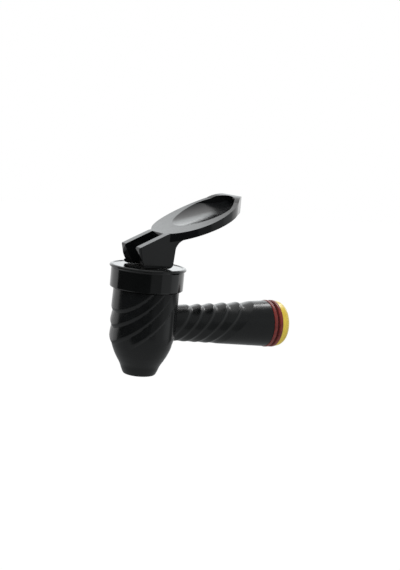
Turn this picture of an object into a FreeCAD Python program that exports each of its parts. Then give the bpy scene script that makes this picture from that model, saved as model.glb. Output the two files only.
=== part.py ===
import FreeCAD, Part
import math
import os
import Sketcher

# Lever tap for a samovar: a moulded body with a fluted barrel and a fluted shank, a round
# cap, a swivelling thumb lever and the sprung seat cup that the lever lifts.
# Each piece is drawn about the barrel's own axis, +Z up and +Y along the shank towards the
# tank, and then placed so that the origin lies on the shank's axis at the tank's outer wall.

DIMENSIONS = {
    # reach of the tap and the seat on the tank
    "reach": 66.7,
    "tank_gap": 1.3,
    "washer_thickness": 1.7,
    "washer_radius": 11.65,
    "thread_radius": 7.8,
    "thread_clearance": 0.2,
    "nut_thickness": 4.4,
    "nut_radius": 11.3,
    "nut_tip_radius": 9.6,
    "thread_end": 0.8,
    # barrel and nozzle
    "barrel_radius": 14.8,
    "lip_height": 0.85,
    "ledge_drop": 0.6,
    "ridge_width": 1.5,
    "hollow_height": 0.12,
    "step_drop": 0.8,
    "step_height": 0.35,
    "neck_radius": 14.2,
    "shoulder_level": 16.0,
    "neck_top": 22.6,
    "taper_level": -5.0,
    "waist_radius": 12.6,
    "waist_level": -14.3,
    "throat_radius": 9.4,
    "throat_level": -19.8,
    "nozzle_radius": 8.0,
    "nozzle_level": -24.3,
    "outlet_radius": 5.5,
    "chamber_radius": 12.0,
    "chamber_floor": -5.8,
    "seat_level": -4.2,
    "seat_width": 1.4,
    # flutes of the barrel
    "swag_count": 4,
    "swag_front": 6.1,
    "swag_side": 12.0,
    "swag_rear": 29.0,
    "swag_front_pitch": 7.3,
    "swag_side_pitch": 6.3,
    "swag_rear_pitch": 7.7,
    "swag_runout": 45.0,
    "crease_angle": 126.0,
    # rear pad and shank
    "pad_width": 18.4,
    "pad_depth": 13.0,
    "pad_corner": 3.4,
    "pad_foot": -8.6,
    "shank_root_radius": 8.3,
    "shank_end_radius": 11.4,
    "inlet_radius": 4.2,
    "port_radius": 5.0,
    "port_depth": 13.6,
    "flute_count": 6,
    "flute_start": 16.3,
    "flute_pitch": 5.1,
    "flute_growth": 0.3,
    "flute_slant": 6.2,
    "flute_depth": 1.35,
    "flute_fall": 1.1,
    # cap
    "cap_radius": 17.1,
    "cap_level": 16.6,
    "cap_height": 9.7,
    "cap_roof": 2.4,
    "cap_rim": 1.0,
    "cap_bead": 0.8,
    "recess_depth": 0.7,
    "recess_radius": 10.5,
    "cap_clearance": 0.25,
    # stem, seat cup, spring
    "stem_radius": 4.7,
    "running_clearance": 0.06,
    "flange_radius": 6.9,
    "flange_thickness": 1.6,
    "stem_flat": 3.2,
    "barb_radius": 3.0,
    "barb_hook": 0.7,
    "barb_length": 4.4,
    "barb_clearance": 0.15,
    "cup_floor": 3.0,
    "cup_wall": 1.4,
    "cup_radius": 9.6,
    "cup_rim_radius": 13.9,
    "plug_radius": 7.4,
    "spring_radius": 5.9,
    "spring_wire": 1.0,
    "spring_turns": 7,
    # slip washer and lever
    "slip_radius": 10.2,
    "slip_thickness": 0.8,
    "swivel": 6.0,
    "pivot_level": 32.6,
    "pin_radius": 1.5,
    "socket_depth": 2.4,
    "lever_clearance": 0.2,
    "fork_width": 18.4,
    "slot_width": 10.6,
    "fork_front": -10.4,
    "fork_front_level": 36.3,
    "fork_foot": -8.5,
    "fork_foot_rise": 1.15,
    "fork_toe": -6.3,
    "toe_radius": 2.0,
    "heel_radius": 2.0,
    "heel_start": 6.0,
    "fork_heel": 8.6,
    "slot_end": 3.6,
    "slot_level": 42.9,
    "slot_relief": 6.0,
    "ear_round": 1.0,
    "facet_front_level": 36.0,
    "facet_side_level": 30.7,
    "facet_toe": -5.0,
    "heel_top": 36.6,
    "neck_fillet": 6.5,
    "gusset_start": 12.6,
    "gusset_start_level": 40.7,
    "gusset_end": 22.0,
    "gusset_end_level": 47.2,
    "paddle_centre": 23.0,
    "paddle_radius": 20.2,
    "tip_centre": 38.2,
    "tip_radius": 8.5,
    "paddle_thickness": 4.0,
    "rise_end": 37.5,
    "rise_level": 59.4,
    "rise_arc": 188.0,
    "crest_arc": 10.0,
    "crest_end": 42.5,
    "crest_level": 62.3,
    "crest_fall": 1.8,
    "under_tip_level": 53.6,
    "rim_width": 2.6,
    "dish_centre": 19.9,
    "dish_level": 53.0,
    "dish_length": 51.0,
    "dish_width": 35.2,
    "dish_sink": 4.2,
    "dish_slope": 18.0,
}

document = FreeCAD.newDocument("samovar_tap")
sheet = document.addObject("Spreadsheet::Sheet", "Dim")
for row, (alias, value) in enumerate(DIMENSIONS.items(), start=1):
    sheet.set("A%d" % row, alias)
    sheet.set("B%d" % row, str(value))
    sheet.setAlias("B%d" % row, alias)
document.recompute()


def size(alias):
    """A driving dimension, read from the sheet."""
    return float(sheet.get(alias))


def number(owner, expression):
    """The value of an expression of the sheet's dimensions."""
    value = owner.evalExpression(expression)
    return float(getattr(value, "Value", value))


def new_body(name):
    return document.addObject("PartDesign::Body", name)


def origin_plane(body, role):
    return [plane for plane in body.Origin.OriginFeatures if plane.Role == role][0]


def arc_between(start, end, radius):
    """The arc of a radius from start to end; a negative radius turns clockwise."""
    chord = end - start
    middle = (start + end) * 0.5
    rise = math.sqrt(radius * radius - chord.Length * chord.Length / 4)
    left = FreeCAD.Vector(-chord.y, chord.x, 0).normalize()
    centre = middle + left * math.copysign(rise, radius)
    first, last = (start, end) if radius > 0 else (end, start)
    angles = [math.atan2(point.y - centre.y, point.x - centre.x) for point in (first, last)]
    if angles[1] < angles[0]:
        angles[1] += 2 * math.pi
    circle = Part.Circle(centre, FreeCAD.Vector(0, 0, 1), abs(radius))
    return Part.ArcOfCircle(circle, angles[0], angles[1])


def outline(body, name, role, corners):
    """A closed sketch. Each corner is (across, up), or (across, up, radius) where the side
    to the next corner is an arc. All are expressions of the sheet's dimensions."""
    sketch = body.newObject("Sketcher::SketchObject", name)
    sketch.AttachmentSupport = [(origin_plane(body, role), "")]
    sketch.MapMode = "FlatFace"
    points = [FreeCAD.Vector(number(sketch, c[0]), number(sketch, c[1]), 0) for c in corners]
    starts = []
    ends = []
    for index, corner in enumerate(corners):
        start, end = points[index], points[(index + 1) % len(points)]
        if len(corner) == 2:
            sketch.addGeometry(Part.LineSegment(start, end), False)
            forward = True
        else:
            radius = number(sketch, corner[2])
            sketch.addGeometry(arc_between(start, end, radius), False)
            forward = radius > 0
        starts.append(1 if forward else 2)
        ends.append(2 if forward else 1)
    for index, corner in enumerate(corners):
        following = (index + 1) % len(corners)
        sketch.addConstraint(Sketcher.Constraint("Coincident", index, ends[index],
                                                 following, starts[following]))
        for axis, kind, expression, value in (
                (-2, "DistanceX", corner[0], points[index].x),
                (-1, "DistanceY", corner[1], points[index].y)):
            if abs(value) < 1e-9:
                sketch.addConstraint(Sketcher.Constraint("PointOnObject", index,
                                                         starts[index], axis))
                continue
            row = sketch.addConstraint(Sketcher.Constraint(kind, -1, 1, index,
                                                           starts[index], value))
            sketch.setExpression("Constraints[%d]" % row, expression)
        if len(corner) == 3:
            radius = number(sketch, corner[2])
            row = sketch.addConstraint(Sketcher.Constraint("Radius", index, abs(radius)))
            sketch.setExpression("Constraints[%d]" % row, "abs(%s)" % corner[2])
    return sketch


def turn(body, name, role, axis, corners):
    """A revolved outline."""
    sketch = outline(body, name + "_outline", role, corners)
    feature = body.newObject("PartDesign::Revolution", name)
    feature.Profile = sketch
    feature.ReferenceAxis = (sketch, [axis])
    feature.Angle = 360
    sketch.Visibility = False
    return feature


def extrude(body, name, role, corners, width, cut=False):
    """An outline extruded to both sides of its plane."""
    sketch = outline(body, name + "_outline", role, corners)
    kind = "PartDesign::Pocket" if cut else "PartDesign::Pad"
    feature = body.newObject(kind, name)
    feature.Profile = sketch
    feature.Midplane = True
    feature.setExpression("Length", width)
    return feature


def edge_names(feature, test):
    """Names of the edges whose ends all pass a test."""
    return ["Edge%d" % (index + 1) for index, edge in enumerate(feature.Shape.Edges)
            if all(test(vertex.Point) for vertex in edge.Vertexes)]


def place(piece, swivelled=False, level="0"):
    """Moves a finished piece from the barrel's axis to the tank's wall."""
    piece.Placement = FreeCAD.Placement(FreeCAD.Vector(0, 0, 0),
                                        FreeCAD.Rotation(FreeCAD.Vector(0, 0, 1), 1))
    piece.setExpression("Placement.Base.y", "-Dim.reach")
    piece.setExpression("Placement.Base.z", level)
    piece.setExpression("Placement.Rotation.Angle", "Dim.swivel" if swivelled else "0")


def solid_from(faces):
    """A closed solid from its faces."""
    shell = Part.makeShell(faces)
    solid = Part.makeSolid(shell)
    if solid.Volume < 0:
        solid.reverse()
    return solid


# Body: barrel with its nozzle, neck and chamber
SKIN = "Dim.barrel_radius"
SIDE_ANGLE = 60.0
REAR_ANGLE = 110.0
FADE_ANGLE = 20.0
FULL_BAND = 4.5


def make_barrel():
    body = new_body("barrel")
    turn(body, "barrel_skin", "XZ_Plane", "V_Axis", [
        ("0", "Dim.nozzle_level"),
        ("Dim.nozzle_radius", "Dim.nozzle_level"),
        ("Dim.nozzle_radius", "Dim.nozzle_level + 1", "-16"),
        ("Dim.throat_radius", "Dim.throat_level"),
        ("Dim.waist_radius", "Dim.waist_level", "20"),
        (SKIN, "Dim.taper_level"),
        (SKIN, "Dim.shoulder_level"),
        ("Dim.neck_radius", "Dim.shoulder_level"),
        ("Dim.neck_radius", "Dim.neck_top"),
        ("0", "Dim.neck_top"),
    ])
    return body


def make_rear_pad():
    """The upright pad behind the barrel, its corners cut off, that carries the shank."""
    body = new_body("pad_block")
    pad = body.newObject("PartDesign::Pad", "rear_pad")
    half = "Dim.pad_width / 2"
    sketch = outline(body, "rear_pad_outline", "XY_Plane", [
        ("-(%s)" % half, "0"),
        (half, "0"),
        (half + " + Dim.pad_corner", "Dim.pad_depth - Dim.pad_corner - 0.2"),
        (half, "Dim.pad_depth"),
        ("-(%s)" % half, "Dim.pad_depth"),
        ("-(%s + Dim.pad_corner)" % half, "Dim.pad_depth - Dim.pad_corner - 0.2"),
    ])
    sketch.setExpression("AttachmentOffset.Base.z", "Dim.pad_foot")
    pad.Profile = sketch
    pad.setExpression("Length", "Dim.shoulder_level - Dim.pad_foot")
    envelope = new_body("pad_envelope")
    edge = SKIN + " + Dim.lip_height + 0.6"
    turn(envelope, "envelope", "XZ_Plane", "V_Axis", [
        ("0", "Dim.pad_foot"),
        ("Dim.waist_radius + 0.6", "Dim.pad_foot", "20"),
        (edge, "Dim.taper_level + 2"),
        (edge, "Dim.shoulder_level"),
        ("0", "Dim.shoulder_level"),
    ])
    trimmed = document.addObject("Part::Common", "trimmed_pad")
    trimmed.Base = body
    trimmed.Tool = envelope
    return trimmed


def make_shank():
    """The tapered shank with its threaded end, about the Y axis."""
    body = new_body("shank")
    seat = "Dim.reach - Dim.washer_thickness"
    thread_tip = ("Dim.reach + Dim.tank_gap + Dim.washer_thickness"
                  " + Dim.nut_thickness + Dim.thread_end")
    turn(body, "shank_skin", "YZ_Plane", "H_Axis", [
        ("Dim.neck_radius - 3", "0"),
        ("Dim.neck_radius - 3", "Dim.shank_root_radius"),
        (seat, "Dim.shank_end_radius"),
        (seat, "Dim.thread_radius"),
        (thread_tip + " - 0.8", "Dim.thread_radius"),
        (thread_tip, "Dim.thread_radius - 0.8"),
        (thread_tip, "0"),
    ])
    return body


def smooth(points, closed=False):
    curve = Part.BSplineCurve()
    curve.interpolate(points, PeriodicFlag=closed)
    return curve.toShape()


def swag_height(index, angle):
    """Height of a swag's lip, through its heights at the front, the side and the rear."""
    front = size("swag_front") - index * size("swag_front_pitch")
    side = size("swag_side") - index * size("swag_side_pitch") - front
    rear = size("swag_rear") - index * size("swag_rear_pitch") - front
    bend = (rear / REAR_ANGLE - side / SIDE_ANGLE) / (REAR_ANGLE - SIDE_ANGLE)
    slope = side / SIDE_ANGLE - bend * SIDE_ANGLE
    return front + slope * angle + bend * angle * angle


def skin_radius(level):
    """The barrel's smooth radius, with its first taper towards the nozzle."""
    drop = max(0.0, size("taper_level") - level)
    taper = (size("barrel_radius") - size("waist_radius")) / (size("taper_level")
                                                              - size("waist_level"))
    return size("barrel_radius") - drop * taper * 0.75


def make_swags():
    """The barrel's draped bands, from one side of the rear pad to the other over the front:
    each has a rounded ridge along its lower lip, a hollow above it and a groove at its top."""
    ceiling = size("shoulder_level") + 3.0
    root = size("chamber_radius") + 0.8
    bands = []
    for index in range(int(size("swag_count"))):
        last = size("crease_angle")
        while swag_height(index, last) > ceiling - 2.0:
            last -= 1.0
        runs_out = index == int(size("swag_count")) - 1
        first = size("swag_runout") if runs_out else -last
        count = 13 if runs_out else 25
        rails = [[] for corner in range(8)]
        for step in range(count):
            angle = first + (last - first) * step / (count - 1)
            lip = swag_height(index, abs(angle))
            top = ceiling
            if index > 0:
                top = min(top, swag_height(index - 1, abs(angle)) - size("ledge_drop"))
            fade = max(min(1.0, (angle - first) / FADE_ANGLE), 0.02) if runs_out else 1.0
            squeeze = min(1.0, (top - lip) / FULL_BAND)
            ridge = size("ridge_width") * squeeze
            raised = size("lip_height") * fade
            crest = skin_radius(lip) + raised
            profile = (
                (root, lip - (crest - root)),
                (crest - raised * 0.35, lip),
                (crest, lip + ridge * 0.35),
                (crest - raised * 0.12, lip + ridge),
                (skin_radius(lip) + size("hollow_height") * fade, lip + ridge * 1.8),
                (skin_radius(top) + size("step_height") * fade,
                 top - size("step_drop") * squeeze),
                (skin_radius(top) - 0.1, top),
                (root, top))
            turn_angle = math.radians(angle)
            for rail, (radius, level) in zip(rails, profile):
                rail.append(FreeCAD.Vector(radius * math.sin(turn_angle),
                                           -radius * math.cos(turn_angle), level))
        edges = [smooth(rail) for rail in rails]
        faces = [Part.makeRuledSurface(edges[i], edges[(i + 1) % len(edges)])
                 for i in range(len(edges))]
        for end in (0, -1):
            corners = [rail[end] for rail in rails]
            faces.append(Part.Face(Part.makePolygon(corners + corners[:1])))
        band = solid_from(faces)
        bands.append(band)
        if runs_out:
            bands.append(band.mirror(FreeCAD.Vector(0, 0, 0), FreeCAD.Vector(1, 0, 0)))
    features = []
    for band in bands:
        feature = document.addObject("Part::Feature", "swag")
        feature.Shape = band
        features.append(feature)
    return features


def make_cap_seat():
    """The ring of space round the neck where the cap sits; it ends the bands level."""
    body = new_body("cap_seat")
    turn(body, "seat_ring", "XZ_Plane", "V_Axis", [
        ("Dim.neck_radius", "Dim.shoulder_level"),
        ("Dim.neck_radius + 5", "Dim.shoulder_level"),
        ("Dim.neck_radius + 5", "Dim.neck_top + 1"),
        ("Dim.neck_radius", "Dim.neck_top + 1"),
    ])
    return body


def make_shank_flutes():
    """Slanted ratchet grooves round the shank: the skin grows towards the tank up to each
    lip and steps in behind it."""
    root_level = size("neck_radius") - 3
    seat = size("reach") - size("washer_thickness")
    taper = (size("shank_end_radius") - size("shank_root_radius")) / (seat - root_level)
    grooves = []
    for index in range(int(size("flute_count"))):
        centre = (size("flute_start") + index * size("flute_pitch")
                  + index * (index - 1) / 2 * size("flute_growth"))
        length = size("flute_pitch") + index * size("flute_growth") - 0.6
        depth = size("flute_depth")
        fall = size("flute_fall")
        profile = ((-0.55, -0.4), (0.0, 0.15), (fall, depth), (fall + 0.35 * length, 0.45 * depth),
                   (0.85 * length, 0.06), (length + 0.1, -0.4))
        rails = [[] for corner in profile]
        count = 18
        for step in range(count):
            angle = 2 * math.pi * step / count
            lip = centre + size("flute_slant") * math.sin(angle)
            for rail, (along, sink) in zip(rails, profile):
                level = lip + along
                radius = size("shank_root_radius") + taper * (level - root_level) - sink
                rail.append(FreeCAD.Vector(radius * math.cos(angle), level,
                                           radius * math.sin(angle)))
        edges = [smooth(rail, closed=True) for rail in rails]
        faces = [Part.makeRuledSurface(edges[i], edges[(i + 1) % len(edges)])
                 for i in range(len(edges))]
        grooves.append(solid_from(faces))
    feature = document.addObject("Part::Feature", "shank_grooves")
    feature.Shape = Part.makeCompound(grooves)
    return feature


def make_waterway():
    """The hollow: valve chamber, outlet with its raised seat, and inlet through the shank."""
    body = new_body("waterway")
    ridge = "Dim.outlet_radius + Dim.seat_width"
    turn(body, "chamber", "XZ_Plane", "V_Axis", [
        ("0", "Dim.nozzle_level - 5"),
        ("Dim.outlet_radius", "Dim.nozzle_level - 5"),
        ("Dim.outlet_radius", "Dim.seat_level"),
        (ridge, "Dim.seat_level"),
        (ridge, "Dim.chamber_floor"),
        ("Dim.chamber_radius", "Dim.chamber_floor"),
        ("Dim.chamber_radius", "Dim.neck_top + 5"),
        ("0", "Dim.neck_top + 5"),
    ])
    turn(body, "inlet", "YZ_Plane", "H_Axis", [
        ("Dim.cup_radius", "0"),
        ("Dim.cup_radius", "Dim.port_radius"),
        ("Dim.port_depth", "Dim.port_radius"),
        ("Dim.port_depth", "Dim.inlet_radius"),
        ("Dim.reach + 20", "Dim.inlet_radius"),
        ("Dim.reach + 20", "0"),
    ])
    return body


def make_tap_body():
    barrel = make_barrel()
    shank = make_shank()
    swags = make_swags()
    fluted = document.addObject("Part::MultiFuse", "fluted_barrel")
    fluted.Shapes = [barrel, make_rear_pad()] + swags
    ribbed = document.addObject("Part::Cut", "ribbed_shank")
    ribbed.Base = shank
    ribbed.Tool = make_shank_flutes()
    casting = document.addObject("Part::MultiFuse", "casting")
    casting.Shapes = [fluted, ribbed]
    seated = document.addObject("Part::Cut", "seated_casting")
    seated.Base = casting
    seated.Tool = make_cap_seat()
    piece = document.addObject("Part::Cut", "tap_body")
    piece.Base = seated
    piece.Tool = make_waterway()
    return piece


def make_cap():
    body = new_body("bonnet_cap")
    top = "Dim.cap_level + Dim.cap_height"
    roof = top + " - Dim.cap_roof"
    bead = "Dim.cap_radius + Dim.cap_bead"
    turn(body, "cap_skin", "XZ_Plane", "V_Axis", [
        ("Dim.stem_radius + Dim.running_clearance", roof),
        ("Dim.neck_radius + Dim.cap_clearance", roof),
        ("Dim.neck_radius + Dim.cap_clearance", "Dim.cap_level"),
        ("Dim.cap_radius - 0.3", "Dim.cap_level"),
        ("Dim.cap_radius", "Dim.cap_level + 0.3"),
        ("Dim.cap_radius", top + " - 0.9"),
        (bead, top + " - 0.1", "0.9"),
        (bead + " - 0.9", top + " + Dim.cap_rim", "0.9"),
        (bead + " - 1.8", top + " + Dim.recess_depth"),
        ("Dim.recess_radius", top + " + Dim.recess_depth"),
        ("Dim.recess_radius", top),
        ("Dim.stem_radius + Dim.running_clearance", top),
    ])
    return body


def make_slip_washer():
    body = new_body("slip_washer")
    top = "Dim.cap_level + Dim.cap_height"
    bore = "Dim.stem_radius + Dim.thread_clearance"
    turn(body, "slip_ring", "XZ_Plane", "V_Axis", [
        (bore, top),
        ("Dim.slip_radius", top),
        ("Dim.slip_radius", top + " + Dim.slip_thickness"),
        (bore, top + " + Dim.slip_thickness"),
    ])
    return body


def make_stem():
    """The round stem: barb in the seat cup, flange under the spring, and cross-drilled eye."""
    body = new_body("valve_stem")
    flange_top = "Dim.cup_floor + Dim.flange_thickness"
    crown = "Dim.pivot_level + Dim.stem_radius"
    neck = "Dim.barb_radius - Dim.barb_hook"
    turn(body, "stem_turned", "XZ_Plane", "V_Axis", [
        ("0", "Dim.cup_floor - Dim.barb_length"),
        (neck, "Dim.cup_floor - Dim.barb_length"),
        ("Dim.barb_radius", "Dim.cup_floor - Dim.barb_length / 2"),
        (neck, "Dim.cup_floor - Dim.barb_length / 2"),
        (neck, "Dim.cup_floor"),
        ("Dim.flange_radius", "Dim.cup_floor"),
        ("Dim.flange_radius", flange_top),
        ("Dim.stem_radius", flange_top),
        ("Dim.stem_radius", "Dim.pivot_level", "Dim.stem_radius"),
        ("0", crown),
    ])
    for name, side in (("front_flat", "-"), ("rear_flat", "")):
        extrude(body, name, "YZ_Plane", [
            (side + "Dim.stem_flat", flange_top),
            (side + "(Dim.stem_radius + 1)", flange_top),
            (side + "(Dim.stem_radius + 1)", crown + " + 1"),
            (side + "Dim.stem_flat", crown + " + 1"),
        ], "2 * Dim.stem_radius + 2", cut=True)
    eye = body.newObject("PartDesign::Groove", "eye")
    sketch = outline(body, "eye_outline", "XZ_Plane", [
        ("-Dim.fork_width", "Dim.pivot_level"),
        ("Dim.fork_width", "Dim.pivot_level"),
        ("Dim.fork_width", "Dim.pivot_level + Dim.pin_radius + Dim.running_clearance"),
        ("-Dim.fork_width", "Dim.pivot_level + Dim.pin_radius + Dim.running_clearance"),
    ])
    eye.Profile = sketch
    eye.ReferenceAxis = (sketch, ["Edge1"])
    eye.Angle = 360
    return body


def make_pin():
    body = new_body("pivot_pin")
    half = "Dim.slot_width / 2 + Dim.socket_depth - 0.2"
    turn(body, "pin_turned", "XZ_Plane", "H_Axis", [
        ("-(%s)" % half, "0"),
        ("-(%s)" % half, "Dim.pin_radius - 0.3"),
        ("-(%s - 0.3)" % half, "Dim.pin_radius"),
        (half + " - 0.3", "Dim.pin_radius"),
        (half, "Dim.pin_radius - 0.3"),
        (half, "0"),
    ])
    return body


def make_spring():
    """A cylindrical compression spring with its ends closed on the flange and the cap."""
    low = size("cup_floor") + size("flange_thickness") + size("spring_wire") / 2 + 0.02
    high = (size("cap_level") + size("cap_height") - size("cap_roof")
            - size("spring_wire") / 2 - 0.02)
    radius = size("spring_radius")
    helix = Part.makeHelix((high - low) / size("spring_turns"), high - low, radius)
    helix.translate(FreeCAD.Vector(0, 0, low))
    wire = Part.Wire(helix.Edges)
    section = Part.Wire(Part.makeCircle(size("spring_wire") / 2,
                                        FreeCAD.Vector(radius, 0, low),
                                        FreeCAD.Vector(0, 1, 0)))
    feature = document.addObject("Part::Feature", "closing_spring")
    feature.Shape = wire.makePipeShell([section], True, True)
    return feature


def make_seat_cup():
    """The silicone cup: rim clamped under the cap, thin wall, and the plug on the seat."""
    body = new_body("seat_cup")
    roof = "Dim.cap_level + Dim.cap_height - Dim.cap_roof"
    inner = "Dim.cup_radius - Dim.cup_wall"
    hook = "Dim.barb_radius + Dim.barb_clearance"
    pocket = hook + " - Dim.barb_hook"
    pocket_floor = "Dim.cup_floor - Dim.barb_length - Dim.barb_clearance"
    ledge = "Dim.cup_floor - Dim.barb_length / 2 + Dim.barb_clearance"
    turn(body, "cup_moulded", "XZ_Plane", "V_Axis", [
        ("0", "Dim.seat_level"),
        ("Dim.plug_radius", "Dim.seat_level"),
        ("Dim.cup_radius", "Dim.cup_floor - 1"),
        ("Dim.cup_radius", "Dim.neck_top"),
        ("Dim.cup_rim_radius", "Dim.neck_top"),
        ("Dim.cup_rim_radius", roof),
        (inner, roof),
        (inner, "Dim.cup_floor"),
        (pocket, "Dim.cup_floor"),
        (pocket, ledge),
        (hook, ledge),
        (pocket, pocket_floor),
        ("0", pocket_floor),
    ])
    return body


def make_lever():
    """The thumb lever: fork over the stem's eye, heel on the slip washer, dished paddle."""
    sole = "Dim.cap_level + Dim.cap_height + Dim.slip_thickness + Dim.lever_clearance"
    fork = new_body("lever_fork")
    ears = extrude(fork, "fork", "YZ_Plane", [
        ("Dim.fork_toe", sole),
        ("Dim.heel_start", sole, "Dim.heel_radius"),
        ("Dim.heel_start + Dim.heel_radius", sole + " + Dim.heel_radius"),
        ("Dim.fork_heel", "Dim.heel_top", "-Dim.neck_fillet"),
        ("Dim.gusset_start", "Dim.gusset_start_level"),
        ("Dim.gusset_end", "Dim.gusset_end_level"),
        ("Dim.gusset_end - 1", "Dim.gusset_end_level + 1"),
        ("Dim.slot_end", "Dim.slot_level"),
        ("Dim.fork_front", "Dim.fork_front_level"),
        ("Dim.fork_foot", sole + " + Dim.fork_foot_rise", "Dim.toe_radius"),
    ], "Dim.fork_width")
    document.recompute()
    rounds = fork.newObject("PartDesign::Fillet", "ear_rounds")
    rounds.Base = (ears, edge_names(ears, lambda point: (
        abs(abs(point.x) - size("fork_width") / 2) < 0.01
        and point.y < size("fork_foot") + 0.01)))
    rounds.setExpression("Radius", "Dim.ear_round")
    bend = new_body("paddle_bend")
    far_end = "Dim.tip_centre + Dim.tip_radius + 1"
    extrude(bend, "bend", "YZ_Plane", [
        ("Dim.slot_end", "Dim.slot_level - Dim.paddle_thickness"),
        ("Dim.rise_end", "Dim.under_tip_level"),
        (far_end, "Dim.under_tip_level + 0.8"),
        (far_end, "Dim.crest_level - Dim.crest_fall", "Dim.crest_arc"),
        ("Dim.crest_end", "Dim.crest_level", "Dim.crest_arc"),
        ("Dim.rise_end", "Dim.rise_level", "-Dim.rise_arc"),
        ("Dim.slot_end", "Dim.slot_level"),
    ], "3 * Dim.paddle_radius")
    paddle = document.addObject("Part::Common", "paddle_blank")
    paddle.Base = bend
    paddle.Tool = make_egg("paddle_plan", "0")
    bowl = document.addObject("Part::Ellipsoid", "bowl")
    bowl.setExpression("Radius1", "Dim.dish_sink")
    bowl.setExpression("Radius2", "Dim.dish_width / 2")
    bowl.setExpression("Radius3", "Dim.dish_length / 2")
    bowl.Placement = FreeCAD.Placement(
        FreeCAD.Vector(0, 1, 1), FreeCAD.Rotation(FreeCAD.Vector(1, 0, 0), 10))
    bowl.setExpression("Placement.Base.y", "Dim.dish_centre")
    bowl.setExpression("Placement.Base.z", "Dim.dish_level")
    bowl.setExpression("Placement.Rotation.Angle", "Dim.dish_slope")
    bowl.setExpression("Placement.Rotation.Axis.x", "1")
    dish = document.addObject("Part::Common", "dish")
    dish.Base = bowl
    dish.Tool = make_egg("dish_plan", "Dim.rim_width")
    blank = document.addObject("Part::MultiFuse", "lever_blank")
    blank.Shapes = [fork, paddle]
    slot = new_body("lever_slot")
    extrude(slot, "slot", "YZ_Plane", [
        ("Dim.fork_front - 5", sole + " - 1"),
        ("Dim.slot_relief", sole + " - 1"),
        ("Dim.slot_relief", sole),
        ("Dim.slot_end", "Dim.pivot_level + 1"),
        ("Dim.slot_end", "Dim.slot_level + 5"),
        ("Dim.fork_front - 5", "Dim.slot_level + 5"),
    ], "Dim.slot_width")
    sockets = document.addObject("Part::Cylinder", "sockets")
    sockets.setExpression("Radius", "Dim.pin_radius + Dim.running_clearance / 3")
    sockets.setExpression("Height", "Dim.slot_width + 2 * Dim.socket_depth")
    sockets.Placement = FreeCAD.Placement(
        FreeCAD.Vector(1, 0, 1), FreeCAD.Rotation(FreeCAD.Vector(0, 1, 0), 90))
    sockets.setExpression("Placement.Base.x", "-(Dim.slot_width / 2 + Dim.socket_depth)")
    sockets.setExpression("Placement.Base.z", "Dim.pivot_level")
    tools = document.addObject("Part::MultiFuse", "lever_cuts")
    tools.Shapes = [dish, slot, sockets] + make_ear_facets()
    piece = document.addObject("Part::Cut", "lever")
    piece.Base = blank
    piece.Tool = tools
    return piece


def make_ear_facets():
    """The corners cut off each ear at its inner front foot."""
    inner, outer = size("slot_width") / 2, size("fork_width") / 2
    sole = (size("cap_level") + size("cap_height") + size("slip_thickness")
            + size("lever_clearance"))
    corners = [FreeCAD.Vector(inner, size("fork_front"), size("facet_front_level")),
               FreeCAD.Vector(outer, size("fork_foot"), size("facet_side_level")),
               FreeCAD.Vector(inner, size("facet_toe"), sole)]
    middle = (corners[0] + corners[1] + corners[2]) / 3
    base = [middle + (corner - middle) * 1.6 for corner in corners]
    apex = FreeCAD.Vector(inner - 1.0, size("fork_front") - 6, sole - 3)
    sides = [base] + [[base[i], base[(i + 1) % 3], apex] for i in range(3)]
    facet = solid_from([Part.Face(Part.makePolygon(side + side[:1])) for side in sides])
    features = []
    for shape in (facet, facet.mirror(FreeCAD.Vector(0, 0, 0), FreeCAD.Vector(1, 0, 0))):
        feature = document.addObject("Part::Feature", "ear_facet")
        feature.Shape = shape
        features.append(feature)
    return features


def make_egg(name, inset):
    """A tall egg-shaped prism: two circles and the lines that touch both, drawn inward."""
    body = new_body(name)
    wide = "(Dim.paddle_radius - %s)" % inset
    narrow = "(Dim.tip_radius - %s)" % inset
    lean = "((%s - %s) / (Dim.tip_centre - Dim.paddle_centre))" % (wide, narrow)
    side = "sqrt(1 - %s ^ 2)" % lean
    pad = body.newObject("PartDesign::Pad", name + "_pad")
    pad.Profile = outline(body, name + "_outline", "XY_Plane", [
        ("-%s * %s" % (wide, side), "Dim.paddle_centre + %s * %s" % (wide, lean), wide),
        ("0", "Dim.paddle_centre - %s" % wide, wide),
        ("%s * %s" % (wide, side), "Dim.paddle_centre + %s * %s" % (wide, lean)),
        ("%s * %s" % (narrow, side), "Dim.tip_centre + %s * %s" % (narrow, lean), narrow),
        ("0", "Dim.tip_centre + %s" % narrow, narrow),
        ("-%s * %s" % (narrow, side), "Dim.tip_centre + %s * %s" % (narrow, lean)),
    ])
    pad.setExpression("Length", "3 * Dim.crest_level")
    return body


def make_washer(name, start):
    """A soft sealing washer on the thread, from a place along the shank."""
    body = new_body(name)
    bore = "Dim.thread_radius + Dim.thread_clearance"
    turn(body, name + "_ring", "YZ_Plane", "H_Axis", [
        (start, bore),
        (start, "Dim.washer_radius - 0.3"),
        (start + " + 0.3", "Dim.washer_radius"),
        (start + " + Dim.washer_thickness - 0.3", "Dim.washer_radius"),
        (start + " + Dim.washer_thickness", "Dim.washer_radius - 0.3"),
        (start + " + Dim.washer_thickness", bore),
    ])
    return body


def make_nut():
    """The round back nut with its domed edge."""
    body = new_body("back_nut")
    start = "Dim.reach + Dim.tank_gap + Dim.washer_thickness"
    end = start + " + Dim.nut_thickness"
    bore = "Dim.thread_radius + Dim.thread_clearance"
    turn(body, "nut_ring", "YZ_Plane", "H_Axis", [
        (start, bore),
        (start, "Dim.nut_radius"),
        (start + " + 1.2", "Dim.nut_radius", "-4.2"),
        (end, "Dim.nut_tip_radius"),
        (end, bore),
    ])
    return body


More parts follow.
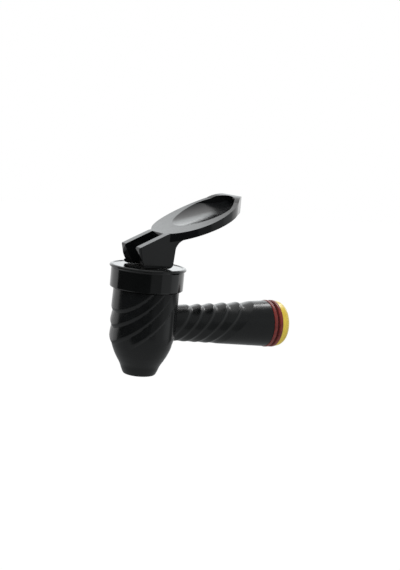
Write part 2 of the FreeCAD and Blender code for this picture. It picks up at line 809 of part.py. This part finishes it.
pieces = {
    "tap_body": make_tap_body(),
    "bonnet_cap": make_cap(),
    "slip_washer": make_slip_washer(),
    "valve_stem": make_stem(),
    "pivot_pin": make_pin(),
    "closing_spring": make_spring(),
    "seat_cup": make_seat_cup(),
    "lever": make_lever(),
    "outer_washer": make_washer("outer_washer", "Dim.reach - Dim.washer_thickness"),
    "inner_washer": make_washer("inner_washer", "Dim.reach + Dim.tank_gap"),
    "back_nut": make_nut(),
}
swivelled = ("slip_washer", "valve_stem", "pivot_pin", "lever")
for name, piece in pieces.items():
    piece.Label = name
    place(piece, name in swivelled, "Dim.pivot_level" if name == "pivot_pin" else "0")
document.recompute()

for item in document.Objects:
    if "Invalid" in item.State or "Error" in item.State:
        raise RuntimeError("%s could not be made" % item.Name)
for name, piece in pieces.items():
    if piece.Shape.isNull() or not piece.Shape.isValid():
        raise RuntimeError("%s has no valid shape" % name)
    if len(piece.Shape.Solids) != 1:
        raise RuntimeError("%s is not one solid" % name)

os.makedirs("parts", exist_ok=True)
for name, piece in pieces.items():
    piece.Shape.exportStep("parts/%s.step" % name)
    print("%-15s %9.1f mm3" % (name, piece.Shape.Volume))
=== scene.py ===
import math

import bmesh
import bpy
from mathutils import Matrix, Vector


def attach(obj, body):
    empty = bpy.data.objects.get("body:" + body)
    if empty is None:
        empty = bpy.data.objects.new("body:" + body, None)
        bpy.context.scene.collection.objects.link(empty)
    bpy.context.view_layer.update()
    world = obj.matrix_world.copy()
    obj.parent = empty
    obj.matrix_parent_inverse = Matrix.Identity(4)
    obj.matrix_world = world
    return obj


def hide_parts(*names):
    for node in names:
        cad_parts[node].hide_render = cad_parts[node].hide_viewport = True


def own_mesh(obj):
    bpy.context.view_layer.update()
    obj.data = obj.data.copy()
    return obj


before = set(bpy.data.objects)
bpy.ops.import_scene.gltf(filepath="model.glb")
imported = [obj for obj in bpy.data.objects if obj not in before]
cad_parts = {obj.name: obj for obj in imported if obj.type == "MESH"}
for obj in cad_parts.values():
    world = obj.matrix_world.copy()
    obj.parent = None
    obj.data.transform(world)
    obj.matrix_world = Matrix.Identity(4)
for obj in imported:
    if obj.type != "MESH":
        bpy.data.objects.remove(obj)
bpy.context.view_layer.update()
MM = 0.001
BARREL = Vector((0, -66.7 * MM, 0))

# Camera: beside the tap, a little in front of it and above it, as fitted to the photograph
AZIMUTH = math.radians(63.42)
ELEVATION = math.radians(8.37)
ROLL = math.radians(5.464)
DISTANCE = 459.6 * MM
SHIFT_RIGHT = 24.81 * MM
SHIFT_UP = 20.16 * MM
FOCAL_PIXELS = 980.1
PHOTO_HEIGHT = 570
SENSOR = 36.0
NEAREST, FARTHEST = 0.01, 50

RIGHT = Vector((math.cos(AZIMUTH), math.sin(AZIMUTH), 0))
AHEAD = Vector((-math.sin(AZIMUTH) * math.cos(ELEVATION),
                math.cos(AZIMUTH) * math.cos(ELEVATION), -math.sin(ELEVATION)))
UP = RIGHT.cross(AHEAD)


def add_object(name, data):
    thing = bpy.data.objects.new(name, data)
    bpy.context.scene.collection.objects.link(thing)
    return thing


def make_camera():
    data = bpy.data.cameras.new("camera")
    data.sensor_width = SENSOR
    data.lens = FOCAL_PIXELS / PHOTO_HEIGHT * SENSOR
    data.clip_start = NEAREST
    data.clip_end = FARTHEST
    camera = add_object("camera", data)
    across = math.cos(ROLL) * RIGHT + math.sin(ROLL) * UP
    upward = math.cos(ROLL) * UP - math.sin(ROLL) * RIGHT
    place = BARREL + SHIFT_RIGHT * RIGHT + SHIFT_UP * UP - DISTANCE * AHEAD
    camera.matrix_world = Matrix((
        (across.x, upward.x, -AHEAD.x, place.x),
        (across.y, upward.y, -AHEAD.y, place.y),
        (across.z, upward.z, -AHEAD.z, place.z),
        (0, 0, 0, 1)))
    bpy.context.scene.camera = camera


# Materials, with the scales of their noise in cycles per metre
NOISE_RANGE = (0.3, 0.7)
COLOR_DRIFT = 120
GLOSS_DRIFT = 260
GLOSS_SPREAD = (0.8, 1.25)
FLOW_RIPPLE = 160
RIPPLE_HEIGHT = 0.2 * MM
FINE_GRAIN = 5200
GRAIN_HEIGHT = 0.03 * MM
STEEL_COLOR = (0.6, 0.6, 0.58, 1)
STEEL_DRIFT = 900
STEEL_ROUGHNESS = (0.2, 0.35)
RUBBER_DRIFT = 420
RUBBER_ROUGHNESS = 0.45
RUBBER_SHEEN = 0.1
RUBBER_SKIN = 2600
SKIN_STRENGTH = 0.25
SKIN_HEIGHT = 0.05 * MM


def new_material(name):
    material = bpy.data.materials.new(name)
    material.use_nodes = True
    nodes = material.node_tree.nodes
    return material, nodes, material.node_tree.links, nodes["Principled BSDF"]


def noise(nodes, links, scale, detail=4.0):
    """Noise in the row's own frame."""
    place = nodes.new("ShaderNodeTexCoord")
    texture = nodes.new("ShaderNodeTexNoise")
    texture.inputs["Scale"].default_value = scale
    texture.inputs["Detail"].default_value = detail
    links.new(place.outputs["Object"], texture.inputs["Vector"])
    return texture.outputs["Fac"]


def spread(nodes, links, value, low, high):
    """A noise value spread between two levels."""
    node = nodes.new("ShaderNodeMapRange")
    node.inputs["From Min"].default_value = NOISE_RANGE[0]
    node.inputs["From Max"].default_value = NOISE_RANGE[1]
    node.inputs["To Min"].default_value = low
    node.inputs["To Max"].default_value = high
    links.new(value, node.inputs["Value"])
    return node.outputs["Result"]


def drift_color(nodes, links, shader, color, darker, scale):
    """A base colour that drifts slowly between two."""
    drift = nodes.new("ShaderNodeMix")
    drift.data_type = "RGBA"
    drift.inputs["A"].default_value = (*darker, 1)
    drift.inputs["B"].default_value = (*color, 1)
    links.new(spread(nodes, links, noise(nodes, links, scale), 0, 1), drift.inputs["Factor"])
    links.new(drift.outputs["Result"], shader.inputs["Base Color"])


def add_bump(nodes, links, height, strength, distance):
    bump = nodes.new("ShaderNodeBump")
    bump.inputs["Strength"].default_value = strength
    bump.inputs["Distance"].default_value = distance
    links.new(height, bump.inputs["Height"])
    return bump


def moulded(name, color, darker, roughness, ripple, grain=0.0, specular=0.5):
    """Injection-moulded plastic: slow colour drift, uneven gloss, faint flow ripple, and a
    fine grain where it is asked for."""
    material, nodes, links, shader = new_material(name)
    drift_color(nodes, links, shader, color, darker, COLOR_DRIFT)
    gloss = spread(nodes, links, noise(nodes, links, GLOSS_DRIFT, detail=6),
                   roughness * GLOSS_SPREAD[0], roughness * GLOSS_SPREAD[1])
    links.new(gloss, shader.inputs["Roughness"])
    shader.inputs["Specular IOR Level"].default_value = specular
    bump = add_bump(nodes, links, noise(nodes, links, FLOW_RIPPLE, detail=2), ripple,
                    RIPPLE_HEIGHT)
    if grain:
        fine = add_bump(nodes, links, noise(nodes, links, FINE_GRAIN, detail=3), grain,
                        GRAIN_HEIGHT)
        links.new(bump.outputs["Normal"], fine.inputs["Normal"])
        bump = fine
    links.new(bump.outputs["Normal"], shader.inputs["Normal"])
    return material


def steel(name):
    material, nodes, links, shader = new_material(name)
    shader.inputs["Base Color"].default_value = STEEL_COLOR
    shader.inputs["Metallic"].default_value = 1
    links.new(spread(nodes, links, noise(nodes, links, STEEL_DRIFT), *STEEL_ROUGHNESS),
              shader.inputs["Roughness"])
    return material


def silicone(name, color, deep):
    """Soft rubber with a dusty sheen and a finely uneven skin."""
    material, nodes, links, shader = new_material(name)
    drift_color(nodes, links, shader, color, deep, RUBBER_DRIFT)
    shader.inputs["Roughness"].default_value = RUBBER_ROUGHNESS
    shader.inputs["Sheen Weight"].default_value = RUBBER_SHEEN
    bump = add_bump(nodes, links, noise(nodes, links, RUBBER_SKIN), SKIN_STRENGTH, SKIN_HEIGHT)
    links.new(bump.outputs["Normal"], shader.inputs["Normal"])
    return material


# The tap's body, in millimetres about the barrel's axis: the CAD solid's form, with all four
# swags and with the shank's flutes as the photograph shows them
NOZZLE_LEVEL = -24.3
SHOULDER_LEVEL = 16.0
NECK = (14.2, 22.6)
EDGE_ROUND = 0.6

# Level and radius of the plain barrel, from the nozzle up
SKIN = ((-26.0, 6.9), (NOZZLE_LEVEL, 7.6), (-22.0, 8.65), (-19.8, 9.5), (-17.0, 11.15),
        (-14.3, 12.6), (-10.1, 14.15), (-5.0, 14.8), (0.0, 14.8))

# Each swag ends below in a lip: its level at the barrel's front, at the side and at the rear
LIP_LEVELS = ((7.4, 12.2, 27.0), (-0.4, 6.5, 19.5), (-8.8, -0.2, 13.0), (-15.5, -6.4, 5.3))
SIDE_ANGLE = 60.0
REAR_ANGLE = 110.0
LIP_HEIGHT = 0.75
LIP_DROP = 1.9
SWAG_SWELL = 0.9
TOP_ROOT = 30.0
LAST_LIP_START = 40.0
LIP_FADE = 125.0
FADE_ANGLE = 20.0

# The rear pad. Its chamfer and its side are planes: the distance from the barrel's axis, and how
# far they face across and back
PAD_DEPTH = 13.0
PAD_CHAMFER = (15.61, 0.727, 0.687)
PAD_SIDE = (8.65, 0.940, -0.340)
PAD_FRONT_ANGLE = 90
PAD_BACK_ANGLE = 91
LEAST_FACING = 0.05
PAD_EDGE_ROUND = 0.5
PAD_RADIUS = 16.2
PAD_FOOT = -8.6
FOOT_TOP = -3.0
FOOT_HEIGHT = 5.6
FOOT_DRAW = 3.2
PAD_BLEND = 0.7

# The shank: each ridge leans, and its slant and the flutes' depth grow as named
SHANK_START, SHANK_END = 12.6, 65.0
SHANK_RADII = (8.38, 11.4)
SHANK_CHAMFER = 0.3
FLUTES = 6
FIRST_RIDGE = 15.85
RIDGE_PITCH = 5.4
RIDGE_GROWTH = 0.3
FIRST_SLANT, SLANT_GROWTH = 5.75, 0.65
RIDGE_FALL = 2.2
RIDGE_SWELL = 1.5
FLUTE_DEPTH, TOP_DEEPER = 0.55, 0.3
FAR_ROOT = -100.0

THREAD_END = 74.9
THREAD_RADIUS = 7.8
THREAD_DEPTH = 0.45
THREAD_PITCH = 1.5
THREAD_CHAMFER = 0.8

# Inside: the outlet, the seat's ridge, the chamber, and the inlet along the shank. The cuts run
# past the body's ends
OUTLET_RADIUS = 5.5
SEAT_RADIUS, SEAT_LEVEL = 6.9, -4.2
CHAMBER_RADIUS, CHAMBER_FLOOR = 12.0, -5.8
CAVITY_ENDS = (-25.0, 23.0)
INLET_RADIUS = 4.2
INLET_ENDS = (6.3, 75.7)

# The meshes' fineness, in millimetres, faces round the axis and degrees
EDGE_ROW, BARREL_ROW, SHANK_ROW, THREAD_ROW = 0.1, 0.25, 0.3, 0.25
BARREL_COLUMNS, SHANK_COLUMNS, CAVITY_COLUMNS, INLET_COLUMNS = 300, 160, 96, 61
WELD_GAP, SLIVER = 0.004, 0.002
SHARP_ANGLE = 38


def steps(low, high, size):
    """Evenly spaced values from low to high, about the given size apart."""
    count = max(1, round((high - low) / size))
    return [low + (high - low) * index / count for index in range(count + 1)]


def ease(value):
    """0 up to 0, 1 from 1, and smooth between."""
    value = min(1.0, max(0.0, value))
    return value * value * (3 - 2 * value)


def larger(a, b, blend):
    """The larger of two values, rounded where they cross."""
    return (a + b + math.sqrt((a - b) ** 2 + blend ** 2)) / 2


def skin_radius(level):
    """The plain barrel's radius: a smooth curve through SKIN, rounded off at the nozzle's end."""
    if level >= SKIN[-2][0]:
        return SKIN[-1][1]
    index = max(i for i in range(1, len(SKIN) - 2) if i == 1 or SKIN[i][0] <= level)
    (z0, r0), (z1, r1), (z2, r2), (z3, r3) = SKIN[index - 1:index + 3]
    t = (level - z1) / (z2 - z1)
    slope1 = (r2 - r0) / (z2 - z0) * (z2 - z1)
    slope2 = (r3 - r1) / (z3 - z1) * (z2 - z1)
    radius = ((2 * t ** 3 - 3 * t ** 2 + 1) * r1 + (t ** 3 - 2 * t ** 2 + t) * slope1
              + (3 * t ** 2 - 2 * t ** 3) * r2 + (t ** 3 - t ** 2) * slope2)
    inside = max(0.0, EDGE_ROUND - (level - NOZZLE_LEVEL))
    return radius - EDGE_ROUND + math.sqrt(max(0.0, EDGE_ROUND ** 2 - inside ** 2))


def lip_level(swag, angle):
    """The parabola through a lip's three levels, at an angle from the barrel's front."""
    front, side, rear = LIP_LEVELS[swag]
    curve = ((rear - front) / REAR_ANGLE - (side - front) / SIDE_ANGLE) / (REAR_ANGLE - SIDE_ANGLE)
    slope = (side - front) / SIDE_ANGLE - curve * SIDE_ANGLE
    return front + slope * angle + curve * angle ** 2


def swag_height(angle, level):
    """How far the swags stand out of the barrel: each grows down to its lip, and turns in
    under it to the next swag's root. The last one starts only at the barrel's side."""
    root = TOP_ROOT
    height = 0.0
    for swag in range(len(LIP_LEVELS)):
        lip = lip_level(swag, angle)
        if level > lip - LIP_DROP:
            if level > lip:
                height = ((root - level) / (root - lip)) ** SWAG_SWELL
            else:
                height = 1 - ((lip - level) / LIP_DROP) ** 2
            break
        root = lip - LIP_DROP
    if swag == len(LIP_LEVELS) - 1:
        height *= ease((angle - LAST_LIP_START) / FADE_ANGLE)
    return LIP_HEIGHT * height * (1 - ease((angle - LIP_FADE) / FADE_ANGLE))


def pad_radius(angle, level):
    """The rear pad's outline seen from the barrel's axis, drawn in at its foot."""
    if level < PAD_FOOT or angle < PAD_FRONT_ANGLE:
        return 0.0
    turn = math.radians(180 - angle)
    limits = [PAD_DEPTH / math.cos(turn)] if angle > PAD_BACK_ANGLE else []
    for distance, across, back in (PAD_CHAMFER, PAD_SIDE):
        facing = across * math.sin(turn) + back * math.cos(turn)
        if facing > LEAST_FACING:
            limits.append(distance / facing)
    foot = max(0.0, FOOT_TOP - level) / FOOT_HEIGHT
    limits.append(PAD_RADIUS - FOOT_DRAW * foot ** 2)
    outline = limits[0]
    for limit in limits[1:]:
        outline = -larger(-outline, -limit, PAD_EDGE_ROUND)
    return outline


def barrel_profile(turn):
    """Radius and level up the barrel's outside, at a turn from its front."""
    angle = abs(math.degrees(turn) - 360 if turn > math.pi else math.degrees(turn))
    levels = steps(NOZZLE_LEVEL, NOZZLE_LEVEL + EDGE_ROUND, EDGE_ROW)
    levels += steps(NOZZLE_LEVEL + EDGE_ROUND, SHOULDER_LEVEL, BARREL_ROW)[1:]
    points = [(0.0, NOZZLE_LEVEL)]
    for level in levels:
        radius = skin_radius(level) + swag_height(angle, level)
        points.append((larger(radius, pad_radius(angle, level), PAD_BLEND), level))
    return points + [(NECK[0], SHOULDER_LEVEL), NECK, (0.0, NECK[1])]


def shank_radius(turn, level):
    """The tapered shank: each flute rises slowly towards the tank and falls quickly. Nothing
    is cut before the first ridge or after the last."""
    share = (level - SHANK_START) / (SHANK_END - SHANK_START)
    plain = SHANK_RADII[0] + (SHANK_RADII[1] - SHANK_RADII[0]) * share
    depth = FLUTE_DEPTH + TOP_DEEPER * math.sin(turn)
    root = FAR_ROOT
    for flute in range(FLUTES):
        ridge = (FIRST_RIDGE + flute * RIDGE_PITCH + flute * (flute + 1) / 2 * RIDGE_GROWTH
                 + (FIRST_SLANT + flute * SLANT_GROWTH) * math.sin(turn))
        if level < ridge:
            rise = (level - root) / (ridge - root)
            return plain - depth * (1 - rise ** RIDGE_SWELL)
        root = ridge + RIDGE_FALL
        if level < root and flute < FLUTES - 1:
            return plain - depth * ease((level - ridge) / RIDGE_FALL)
    return plain


def shank_profile(turn):
    """Radius and distance along the shank and its helical thread, at a turn from its right."""
    points = [(0.0, SHANK_START)]
    for level in steps(SHANK_START, SHANK_END - SHANK_CHAMFER, SHANK_ROW):
        points.append((shank_radius(turn, level), level))
    points.append((SHANK_RADII[1] - SHANK_CHAMFER, SHANK_END))
    for level in steps(SHANK_END, THREAD_END - THREAD_CHAMFER, THREAD_ROW):
        wave = abs((level / THREAD_PITCH - turn / math.tau) % 1 - 0.5) * 2
        points.append((THREAD_RADIUS - THREAD_DEPTH * wave, level))
    return points + [(THREAD_RADIUS - THREAD_CHAMFER, THREAD_END), (0.0, THREAD_END)]


def cavity_profile(turn):
    """The outlet, the seat's ridge and the chamber, the same all round."""
    bottom, top = CAVITY_ENDS
    return [(0.0, bottom), (OUTLET_RADIUS, bottom), (OUTLET_RADIUS, SEAT_LEVEL),
            (SEAT_RADIUS, SEAT_LEVEL), (SEAT_RADIUS, CHAMBER_FLOOR),
            (CHAMBER_RADIUS, CHAMBER_FLOOR), (CHAMBER_RADIUS, top), (0.0, top)]


def inlet_profile(turn):
    """The bore along the shank, the same all round."""
    start, end = INLET_ENDS
    return [(0.0, start), (INLET_RADIUS, start), (INLET_RADIUS, end), (0.0, end)]


def upright(turn, radius, level):
    """A place about the barrel's axis, with the turn from its front."""
    return (radius * math.sin(turn) * MM, BARREL.y - radius * math.cos(turn) * MM, level * MM)


def lying(turn, radius, level):
    """A place about the shank's axis, with the turn from its right."""
    return (radius * math.cos(turn) * MM, BARREL.y + level * MM, radius * math.sin(turn) * MM)


def turned(name, profile, columns, place):
    """A closed solid round an axis: a profile for each turn, from the axis and back to it."""
    rings = [profile(math.tau * column / columns) for column in range(columns)]
    rows = len(rings[0]) - 2
    corners = [place(0.0, *rings[0][0]), place(0.0, *rings[0][-1])]
    for column, ring in enumerate(rings):
        corners += [place(math.tau * column / columns, *point) for point in ring[1:-1]]
    faces = []
    for column in range(columns):
        here = 2 + column * rows
        there = 2 + (column + 1) % columns * rows
        faces.append((0, there, here))
        faces.append((1, here + rows - 1, there + rows - 1))
        for row in range(rows - 1):
            faces.append((here + row, there + row, there + row + 1, here + row + 1))
    data = bpy.data.meshes.new(name)
    data.from_pydata(corners, [], faces)
    outward = bmesh.new()
    outward.from_mesh(data)
    bmesh.ops.recalc_face_normals(outward, faces=outward.faces)
    outward.to_mesh(data)
    outward.free()
    return add_object(name, data)


def combine(solid, other, operation):
    """Join another solid to this one, or cut it out, and drop it."""
    step = solid.modifiers.new("step", "BOOLEAN")
    step.operation = operation
    step.solver = "MANIFOLD"
    step.object = other
    bpy.context.view_layer.update()
    shown = solid.evaluated_get(bpy.context.evaluated_depsgraph_get())
    result = bpy.data.meshes.new_from_object(shown)
    solid.modifiers.clear()
    solid.data = result
    bpy.data.objects.remove(other)


def weld(piece):
    """Join corners that the cuts left almost on top of each other, and drop the slivers between
    them. Join corners that the cuts left closer than the exported files can tell apart.
    """
    mesh = bmesh.new()
    mesh.from_mesh(piece.data)
    bmesh.ops.triangulate(mesh, faces=mesh.faces)
    bmesh.ops.remove_doubles(mesh, verts=mesh.verts, dist=WELD_GAP * MM)
    bmesh.ops.dissolve_degenerate(mesh, edges=mesh.edges, dist=SLIVER * MM)
    mesh.to_mesh(piece.data)
    mesh.free()


def paint(thing, material):
    thing.data.materials.clear()
    thing.data.materials.append(material)


def stand_in(piece, node, material):
    """Put a piece in a node's place on the fixed tap."""
    paint(piece, material)
    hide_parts(node)
    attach(piece, "tap")


def make_body(material):
    casting = turned("fluted_body", barrel_profile, BARREL_COLUMNS, upright)
    combine(casting, turned("shank", shank_profile, SHANK_COLUMNS, lying), "UNION")
    combine(casting, turned("cavity", cavity_profile, CAVITY_COLUMNS, upright), "DIFFERENCE")
    combine(casting, turned("inlet", inlet_profile, INLET_COLUMNS, lying), "DIFFERENCE")
    weld(casting)
    for polygon in casting.data.polygons:
        polygon.use_smooth = True
    casting.data.set_sharp_from_angle(angle=math.radians(SHARP_ANGLE))
    stand_in(casting, "tap_body", material)


def make_shortening(node, name, material):
    """A copy of a CAD node with its own mesh, put in the node's place on the fixed tap."""
    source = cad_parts[node]
    piece = add_object(name, source.data.copy())
    piece.matrix_world = source.matrix_world.copy()
    stand_in(piece, node, material)
    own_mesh(piece)


def dress(node, material):
    paint(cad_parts[node], material)


def dress_all():
    body_black = moulded("body_black", (0.0042, 0.0048, 0.005), (0.0028, 0.0031, 0.0033),
                         0.24, 0.1, grain=0.04, specular=0.4)
    dress("tap_body", body_black)
    make_body(body_black)
    dress("bonnet_cap", moulded("cap_black", (0.0032, 0.0036, 0.0036), (0.0022, 0.0025, 0.0025),
                                0.12, 0.08))
    dress("lever", moulded("lever_black", (0.0036, 0.004, 0.0044), (0.0025, 0.0028, 0.003),
                           0.15, 0.12))
    dress("valve_stem", moulded("stem_black", (0.004, 0.004, 0.004), (0.003, 0.003, 0.003),
                                0.25, 0.05))
    dress("slip_washer", moulded("slip_black", (0.004, 0.004, 0.004), (0.003, 0.003, 0.003),
                                 0.3, 0.05))
    dress("pivot_pin", steel("ground_steel"))
    spring_steel = steel("spring_steel")
    dress("closing_spring", spring_steel)
    make_shortening("closing_spring", "spring_coil", spring_steel)
    white_silicone = silicone("cup_silicone", (0.7, 0.7, 0.68), (0.6, 0.6, 0.58))
    dress("seat_cup", white_silicone)
    make_shortening("seat_cup", "silicone_cup", white_silicone)
    red = silicone("red_silicone", (0.2, 0.018, 0.012), (0.12, 0.01, 0.008))
    dress("outer_washer", red)
    dress("inner_washer", red)
    dress("back_nut", moulded("nut_yellow", (0.76, 0.6, 0.07), (0.66, 0.48, 0.05), 0.3, 0.1))


# Studio: white sweep, cards that only reflections see, and softboxes, in metres
TOWARD = Vector((-AHEAD.x, -AHEAD.y, 0)).normalized()
WORLD_LIGHT, WORLD_SEEN = 0.5, 1.0
FLOOR_LEVEL = -0.6
FLOOR_HALF = 8.0
FLOOR_WHITE = 0.9
FLOOR_GLOW = 1.05
GLOW_SHARE = 0.93
CARD_RADIUS = 0.55
CARD_STEP = 6
CARD_TINT = (1, 1.03, 1.04)


def direction(bearing, height):
    """From the tap: degrees to the right of the camera, and degrees above the horizon."""
    b, h = math.radians(bearing), math.radians(height)
    return (math.cos(h) * (math.cos(b) * TOWARD + math.sin(b) * RIGHT)
            + math.sin(h) * Vector((0, 0, 1)))


def seen_directly(nodes, links):
    """1 for what the camera, a mirror or glass sees directly."""
    path = nodes.new("ShaderNodeLightPath")
    first = nodes.new("ShaderNodeMath")
    first.operation = "MAXIMUM"
    second = nodes.new("ShaderNodeMath")
    second.operation = "MAXIMUM"
    links.new(path.outputs["Is Camera Ray"], first.inputs[0])
    links.new(path.outputs["Is Glossy Ray"], first.inputs[1])
    links.new(first.outputs[0], second.inputs[0])
    links.new(path.outputs["Is Transmission Ray"], second.inputs[1])
    return second.outputs[0]


def make_world():
    world = bpy.data.worlds.new("sweep")
    world.use_nodes = True
    nodes, links = world.node_tree.nodes, world.node_tree.links
    backdrop = nodes["Background"]
    backdrop.inputs["Color"].default_value = (1, 1, 1, 1)
    strength = nodes.new("ShaderNodeMapRange")
    strength.inputs["To Min"].default_value = WORLD_LIGHT
    strength.inputs["To Max"].default_value = WORLD_SEEN
    links.new(seen_directly(nodes, links), strength.inputs["Value"])
    links.new(strength.outputs["Result"], backdrop.inputs["Strength"])
    bpy.context.scene.world = world


def make_floor():
    """A white floor that keeps the tap's shadow and is mostly glow where it is seen."""
    data = bpy.data.meshes.new("floor")
    half = FLOOR_HALF
    data.from_pydata([(-half, -half, FLOOR_LEVEL), (half, -half, FLOOR_LEVEL),
                      (half, half, FLOOR_LEVEL), (-half, half, FLOOR_LEVEL)],
                     [], [(0, 1, 2, 3)])
    floor = add_object("floor", data)
    material, nodes, links, shader = new_material("floor_white")
    shader.inputs["Base Color"].default_value = (FLOOR_WHITE, FLOOR_WHITE, FLOOR_WHITE, 1)
    shader.inputs["Roughness"].default_value = 0.9
    shader.inputs["Specular IOR Level"].default_value = 0.0
    glow = nodes.new("ShaderNodeEmission")
    glow.inputs["Strength"].default_value = FLOOR_GLOW
    share = nodes.new("ShaderNodeMath")
    share.operation = "MULTIPLY"
    share.inputs[1].default_value = GLOW_SHARE
    mix = nodes.new("ShaderNodeMixShader")
    links.new(seen_directly(nodes, links), share.inputs[0])
    links.new(share.outputs[0], mix.inputs["Fac"])
    links.new(shader.outputs["BSDF"], mix.inputs[1])
    links.new(glow.outputs["Emission"], mix.inputs[2])
    links.new(mix.outputs["Shader"], nodes["Material Output"].inputs["Surface"])
    data.materials.append(material)


def make_card(name, bearings, heights, level):
    """A card round the tap, as part of a sphere, that only reflections see. The level is its
    brightness, and white is 1."""
    columns = max(2, round(abs(bearings[1] - bearings[0]) / CARD_STEP))
    rows = max(2, round(abs(heights[1] - heights[0]) / CARD_STEP))
    corners = []
    for column in range(columns + 1):
        bearing = bearings[0] + (bearings[1] - bearings[0]) * column / columns
        for row in range(rows + 1):
            height = heights[0] + (heights[1] - heights[0]) * row / rows
            corners.append(tuple(BARREL + CARD_RADIUS * direction(bearing, height)))
    faces = []
    for column in range(columns):
        for row in range(rows):
            first = column * (rows + 1) + row
            faces.append((first, first + rows + 1, first + rows + 2, first + 1))
    data = bpy.data.meshes.new(name)
    data.from_pydata(corners, [], faces)
    card = add_object(name, data)
    material, nodes, links, _ = new_material(name)
    glow = nodes.new("ShaderNodeEmission")
    glow.inputs["Color"].default_value = (*(level * tint for tint in CARD_TINT), 1)
    links.new(glow.outputs["Emission"], nodes["Material Output"].inputs["Surface"])
    data.materials.append(material)
    card.visible_camera = False
    card.visible_diffuse = False
    card.visible_shadow = False
    card.visible_transmission = False


def make_lamp(name, bearing, height, distance, size, level, mirrored):
    """A softbox that looks at the tap, with the brightness of its face."""
    data = bpy.data.lights.new(name, "AREA")
    data.shape = "RECTANGLE"
    data.size, data.size_y = size
    data.energy = math.pi * size[0] * size[1] * level
    lamp = add_object(name, data)
    outward = direction(bearing, height)
    lamp.location = BARREL + distance * outward
    lamp.rotation_mode = "QUATERNION"
    lamp.rotation_quaternion = outward.to_track_quat("Z", "Y")
    lamp.visible_glossy = mirrored


def make_studio():
    """The room that the photograph's reflections show: dark to the left and ahead, lighter to
    the right, brightest behind the tap."""
    make_world()
    make_floor()
    make_card("table_card", bearings=(-180, 180), heights=(-89, -16), level=0.4)
    make_card("dark_card", bearings=(-98, 16), heights=(-16, 24), level=0.03)
    make_card("dusk_card", bearings=(16, 50), heights=(-16, 30), level=0.2)
    make_card("side_card", bearings=(50, 85), heights=(-16, 30), level=0.42)
    make_card("pale_card", bearings=(85, 118), heights=(-16, 30), level=0.6)
    make_card("ceiling_card", bearings=(-98, 118), heights=(30, 80), level=0.36)
    make_card("back_card", bearings=(140, 220), heights=(6, 34), level=1.7)
    make_lamp("key_softbox", bearing=-20, height=55, distance=1.3, size=(1.6, 1.2), level=2.5,
              mirrored=False)
    make_lamp("glint_softbox", bearing=150, height=50, distance=1.4, size=(0.35, 0.35),
              level=9.0, mirrored=True)
    bpy.context.scene.view_settings.view_transform = "Standard"


make_camera()
dress_all()
make_studio()
